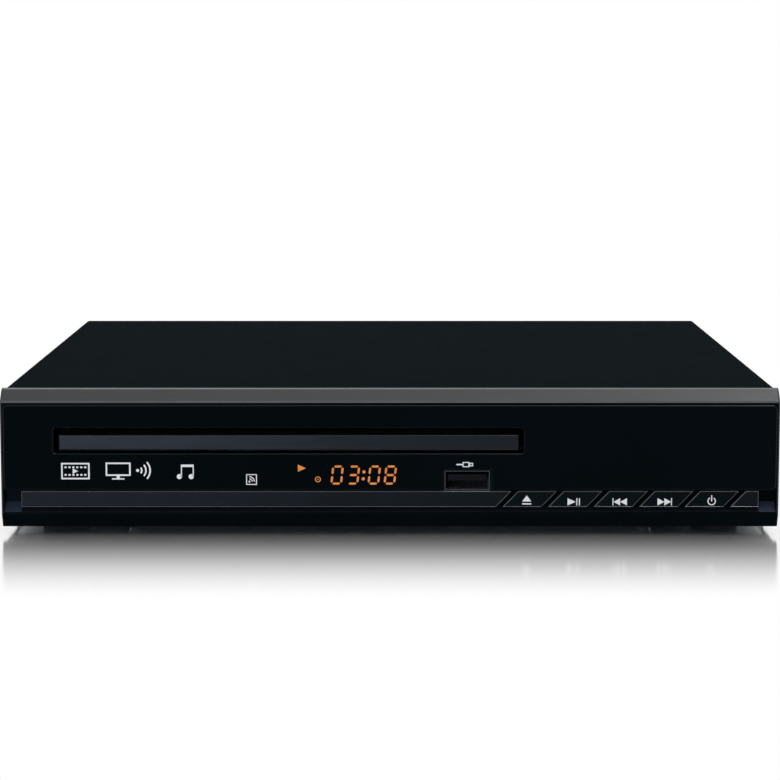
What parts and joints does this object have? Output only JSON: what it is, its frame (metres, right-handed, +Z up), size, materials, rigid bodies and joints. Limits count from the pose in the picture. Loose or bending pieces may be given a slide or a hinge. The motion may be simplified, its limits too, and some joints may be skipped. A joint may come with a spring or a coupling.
{
  "type": "disc player",
  "caption": "Compact flat disc player with a gloss front window, a drawer-type disc tray on a geared loader, slanted keys, a clock display and rear sockets.",
  "frame": {"origin": "on the standing surface, below the middle of the bounding box", "axes": "+X to the right seen from the front, the front faces -Y, +Z up"},
  "size_m": [0.2256, 0.207, 0.0425],
  "materials": {
    "bezel_black": "satin black moulded plastic",
    "window_gloss": "gloss black acrylic",
    "trim_satin": "satin blue-black plastic",
    "key_satin": "satin blue-black plastic",
    "door_satin": "satin blue-grey plastic",
    "cover_paint": "fine-textured matte black paint",
    "pan_steel": "plated steel sheet",
    "screw_black": "black oxide",
    "screw_steel": "zinc plated",
    "rubber_black": "matte rubber",
    "board_green": "solder-masked laminate",
    "chip_black": "moulded epoxy",
    "socket_cream": "moulded nylon",
    "ribbon_white": "flat flexible cable",
    "loader_grey": "moulded plastic",
    "tray_grey": "satin moulded plastic",
    "gear_white": "acetal",
    "motor_steel": "drawn steel can",
    "rod_steel": "ground steel",
    "pickup_metal": "die cast",
    "lens_clear": "coated lens",
    "magnet_grey": "sintered",
    "display_black": "dark filter",
    "receiver_black": "dark epoxy",
    "socket_steel": "nickel plated",
    "socket_black": "moulded plastic",
    "insert_yellow": "moulded plastic",
    "insert_white": "moulded plastic",
    "insert_red": "moulded plastic",
    "pin_brass": "plated",
    "sink_aluminium": "extruded",
    "capacitor_sleeve": "shrink sleeve",
    "transformer_ferrite": "ferrite and tape"
  },
  "bodies": {
    "casing": {"front_bezel": "bezel_black", "front_window": "window_gloss", "lower_trim": "trim_satin", "top_cover": "cover_paint", "base_pan": "pan_steel", "feet": "rubber_black", "cover_screws": "screw_black", "inner_screws": "screw_steel", "front_board": "board_green", "display_module": "display_black", "ir_receiver": "receiver_black", "usb_shell": "socket_steel", "usb_tongue": "socket_black", "key_switches": "chip_black", "front_ribbon": "ribbon_white", "board_connectors": "socket_cream", "loader_frame": "loader_grey", "clamp_bridge": "pan_steel", "loading_motor": "motor_steel", "drive_belt": "rubber_black", "dampers": "rubber_black", "main_board": "board_green", "main_chips": "chip_black", "heat_sink": "sink_aluminium", "board_capacitors": "capacitor_sleeve", "power_board": "board_green", "transformer": "transformer_ferrite", "mains_inlet": "socket_black", "mains_pins": "pin_brass", "video_socket_shell": "socket_steel", "video_socket_tongue": "socket_black", "av_jack_housing": "socket_black", "av_jack_sleeves": "socket_steel", "video_jack_insert": "insert_yellow", "left_audio_insert": "insert_white", "right_audio_insert": "insert_red"},
    "tray": {"disc_tray": "tray_grey", "tray_door": "door_satin"},
    "tray_gear": {"tray_gear": "gear_white"},
    "pulley_gear": {"pulley_gear": "gear_white"},
    "motor_pulley": {"motor_pulley": "gear_white"},
    "cam": {"cam_slider": "gear_white"},
    "traverse": {"traverse_deck": "loader_grey", "spindle_motor": "motor_steel", "guide_rods": "rod_steel", "sled_motor": "motor_steel"},
    "spindle": {"spindle_rotor": "motor_steel", "turntable": "tray_grey", "turntable_pad": "rubber_black"},
    "pickup": {"optical_pickup": "pickup_metal"},
    "lens": {"objective_lens": "lens_clear"},
    "sled_gear": {"sled_gear": "gear_white"},
    "sled_pinion": {"sled_pinion": "gear_white"},
    "clamper": {"clamper": "loader_grey", "clamper_magnet": "magnet_grey"},
    "eject_key": {"eject_button": "key_satin"},
    "play_key": {"play_button": "key_satin"},
    "previous_key": {"previous_button": "key_satin"},
    "next_key": {"next_button": "key_satin"},
    "power_key": {"power_button": "key_satin"}
  },
  "joints": [
    {"name": "tray_slide", "type": "slide", "parent": "casing", "child": "tray", "axis": [0, -1, 0], "range_m": [0, 0.132]},
    {"name": "tray_gear_spin", "type": "hinge", "parent": "casing", "child": "tray_gear", "pos_m": [0.01675, -0.072, 0.0145], "axis": [0, 0, 1], "continuous": true},
    {"name": "pulley_gear_spin", "type": "hinge", "parent": "casing", "child": "pulley_gear", "pos_m": [-0.0008, -0.072, 0.0192], "axis": [0, 0, 1], "continuous": true},
    {"name": "loading_motor_spin", "type": "hinge", "parent": "casing", "child": "motor_pulley", "pos_m": [-0.0308, -0.072, 0.0192], "axis": [0, 0, 1], "continuous": true},
    {"name": "traverse_lower", "type": "hinge", "parent": "casing", "child": "traverse", "pos_m": [-0.02915, 0.0495, 0.014], "axis": [1, 0, 0], "range_deg": [0, 3.45]},
    {"name": "cam_slide", "type": "slide", "parent": "casing", "child": "cam", "axis": [1, 0, 0], "range_m": [0, 0.0242]},
    {"name": "spindle_spin", "type": "hinge", "parent": "traverse", "child": "spindle", "pos_m": [-0.02915, -0.0335, 0.0295], "axis": [0, 0, 1], "continuous": true},
    {"name": "clamper_spin", "type": "hinge", "parent": "casing", "child": "clamper", "pos_m": [-0.02915, -0.0335, 0.0302], "axis": [0, 0, 1], "continuous": true},
    {"name": "pickup_slide", "type": "slide", "parent": "traverse", "child": "pickup", "axis": [0, 1, 0], "range_m": [0, 0.033]},
    {"name": "sled_gear_spin", "type": "hinge", "parent": "traverse", "child": "sled_gear", "pos_m": [0.00073, 0.0045, 0.0222], "axis": [0, 0, 1], "continuous": true},
    {"name": "sled_motor_spin", "type": "hinge", "parent": "traverse", "child": "sled_pinion", "pos_m": [0.00543, -0.0055, 0.0222], "axis": [0, 0, 1], "continuous": true},
    {"name": "lens_focus", "type": "slide", "parent": "pickup", "child": "lens", "axis": [0, 0, 1], "range_m": [-0.0004, 0.0004], "stiffness_N_per_m": 100},
    {"name": "eject_press", "type": "slide", "parent": "casing", "child": "eject_key", "axis": [0, 1, 0], "range_m": [0, 0.0007], "stiffness_N_per_m": 200},
    {"name": "play_press", "type": "slide", "parent": "casing", "child": "play_key", "axis": [0, 1, 0], "range_m": [0, 0.0007], "stiffness_N_per_m": 200},
    {"name": "previous_press", "type": "slide", "parent": "casing", "child": "previous_key", "axis": [0, 1, 0], "range_m": [0, 0.0007], "stiffness_N_per_m": 200},
    {"name": "next_press", "type": "slide", "parent": "casing", "child": "next_key", "axis": [0, 1, 0], "range_m": [0, 0.0007], "stiffness_N_per_m": 200},
    {"name": "power_press", "type": "slide", "parent": "casing", "child": "power_key", "axis": [0, 1, 0], "range_m": [0, 0.0007], "stiffness_N_per_m": 200}
  ],
  "couplings": [
    {"joint": "tray_gear_spin", "follows": "tray_slide", "rad_per_m": -142.86},
    {"joint": "pulley_gear_spin", "follows": "tray_slide", "rad_per_m": 367.35},
    {"joint": "loading_motor_spin", "follows": "tray_slide", "rad_per_m": 1114.9},
    {"joint": "cam_slide", "follows": "traverse_lower", "m_per_rad": 0.39858},
    {"joint": "clamper_spin", "follows": "spindle_spin", "ratio": 1},
    {"joint": "sled_gear_spin", "follows": "pickup_slide", "rad_per_m": -238.1},
    {"joint": "sled_motor_spin", "follows": "pickup_slide", "rad_per_m": 510.2}
  ]
}
